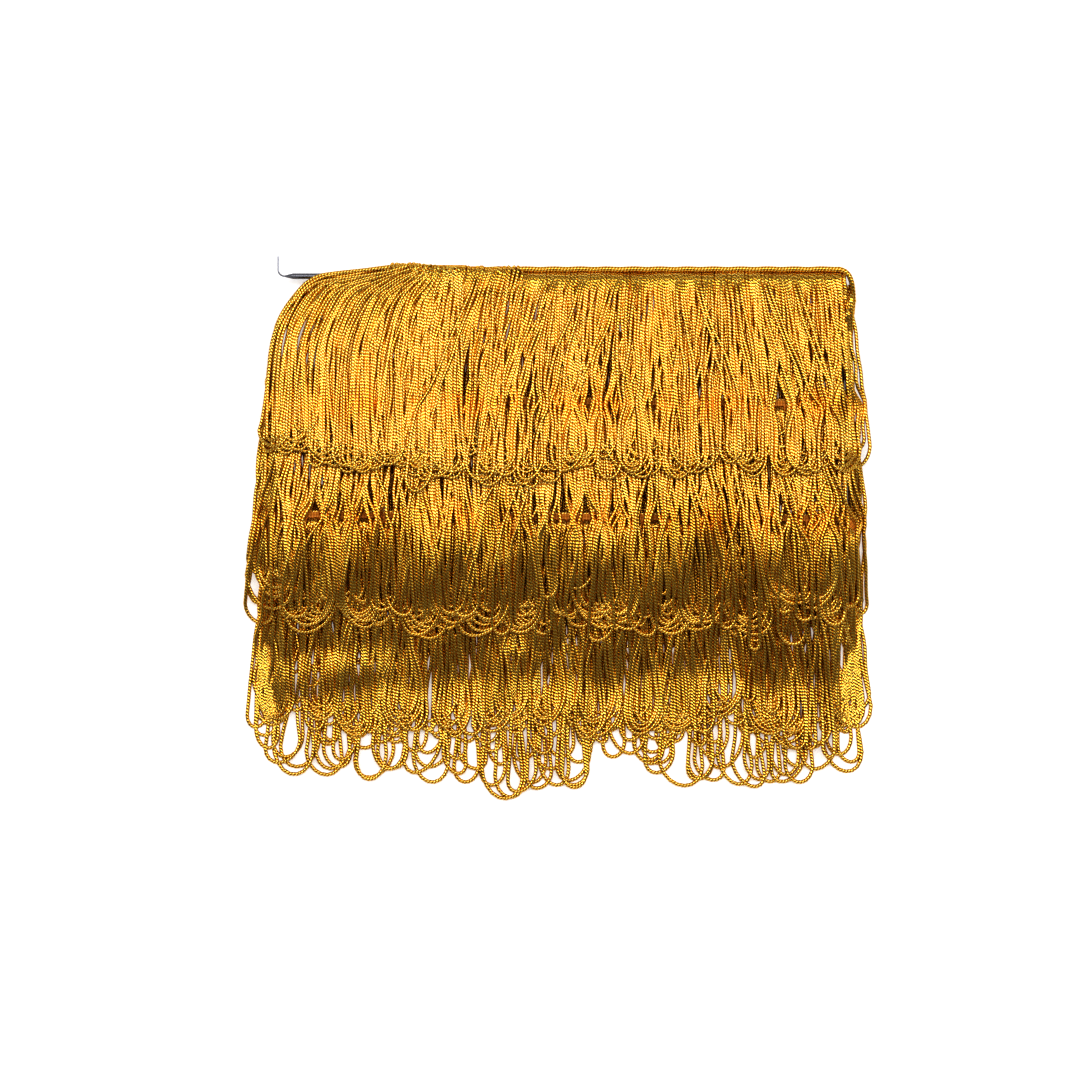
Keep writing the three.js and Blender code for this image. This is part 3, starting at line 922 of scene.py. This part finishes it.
# %% [markdown]
# ## Wire frame
# The core is one bright wire, bent flat at four corners, with one thinner end turned up past the winding. It
# is drawn as a maker bends it: a disc is extruded along each straight and spun round each bend. A bend is
# given by the x and drop of its centre. Spin turns the other way when Blender runs without a window, so its
# angle is reversed.
# %% Wire frame
WIRE = 1.4
TAIL = 0.4
WIRE_LEVEL = 9.3


def wire_point(x, drop):
    return (x * MM, (TOP - drop) * MM, WIRE_LEVEL * MM)


def straight(dx, dy):
    bpy.ops.mesh.extrude_region_move(TRANSFORM_OT_translate={"value": (dx * MM, dy * MM, 0)})


def bend(x, drop, degrees):
    bpy.ops.mesh.spin(steps=8, angle=-math.radians(degrees), center=wire_point(x, drop), axis=(0, 0, 1))


clear_selection()
bpy.ops.mesh.primitive_circle_add(vertices=16, radius=TAIL * MM, fill_type="NGON",
                                  location=wire_point(-132.5, -5.6), rotation=(math.radians(90), 0, 0))
wire = bpy.context.object
wire.name = "wire_frame"
bpy.ops.object.mode_set(mode="EDIT")
bpy.ops.mesh.select_all(action="SELECT")
straight(0, -6.4)
bend(-129.5, 0.8, 90)
straight(4, 0)
bpy.ops.transform.resize(value=(WIRE / TAIL,) * 3)
straight(251.5, 0)
bend(126, 11.8, -90)
straight(0, -106.2)
bend(126, 118, -90)
straight(-252, 0)
bend(-126, 118, -90)
straight(0, 86)
bpy.ops.mesh.select_all(action="SELECT")
bpy.ops.mesh.remove_doubles(threshold=1e-6)
bpy.ops.mesh.normals_make_consistent(inside=False)
bpy.ops.object.mode_set(mode="OBJECT")
bpy.ops.object.transform_apply(location=True, rotation=True, scale=True)
bpy.ops.object.shade_smooth_by_angle(angle=SMOOTH_ANGLE)
wire.data.materials.append(BRIGHT_WIRE)
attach(wire, "root")
print("wire_frame", len(wire.data.polygons), "faces")

# %% [markdown]
# ## What the pieces stand for
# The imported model's plain solids stay in the physics, where few faces are better. The pieces above are shown
# in their place, as soft cords need far more faces than a collision shape does.
# %% Replaced solids
TRIM_PIECES = ("front_1", "front_2", "front_3", "corner_fan", "back_1", "back_2", "open_loops",
               "stitched_band", "chain_lines", "side_loops")
for name in TRIM_PIECES:
    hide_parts("fringe_trim")
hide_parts("core_wire")
print(len(TRIM_PIECES), "pieces stand for fringe_trim, and 1 for core_wire")

# %% [markdown]
# ## Table and light
# A plain white table and soft light. The main lamp is a long bar overhead, a little beyond the winding's top
# edge, because silky cord is bright where it lies level and dark where it falls away, and that shows the
# winding's form. A broad soft box would make it flat. Two dim lamps low down light the sides. The table glows
# a little, so that it stays white, and a lower gamma gives the deep contrast of silk in strong light.
# %% Table and lamps
ROOM_LIGHT = 0.13
TABLE_GLOW = 0.4
CONTRAST = 0.76

clear_selection()
bpy.ops.mesh.primitive_plane_add(size=4)
table = bpy.context.object
table.name = "table"
surface = Finish("table_white", Base_Color=(0.86, 0.86, 0.87, 1), Roughness=0.7, Emission_Color=(1, 1, 1, 1),
                 Emission_Strength=TABLE_GLOW)
table.data.materials.append(surface.material)


def lamp(name, place, width, depth, watts):
    data = bpy.data.lights.new(name, "AREA")
    data.shape = "RECTANGLE"
    data.size = width
    data.size_y = depth
    data.energy = watts
    light = bpy.data.objects.new(name, data)
    light.location = place
    light.rotation_euler = (-Vector(place)).to_track_quat("-Z", "Y").to_euler()
    bpy.context.collection.objects.link(light)
    print(name, watts, "W")


lamp("overhead_bar", (0, 0.54, 2.4), 8.0, 0.9, 116)
lamp("low_behind", (0, 2.2, 0.9), 4.0, 0.6, 13)
lamp("low_front", (0, -2.2, 0.9), 4.0, 0.6, 17)
world = bpy.data.worlds.new("room")
world.use_nodes = True
world.node_tree.nodes["Background"].inputs["Color"].default_value = (1, 1, 1, 1)
world.node_tree.nodes["Background"].inputs["Strength"].default_value = ROOM_LIGHT
bpy.context.scene.world = world
bpy.context.scene.view_settings.view_transform = "Standard"
bpy.context.scene.view_settings.gamma = CONTRAST
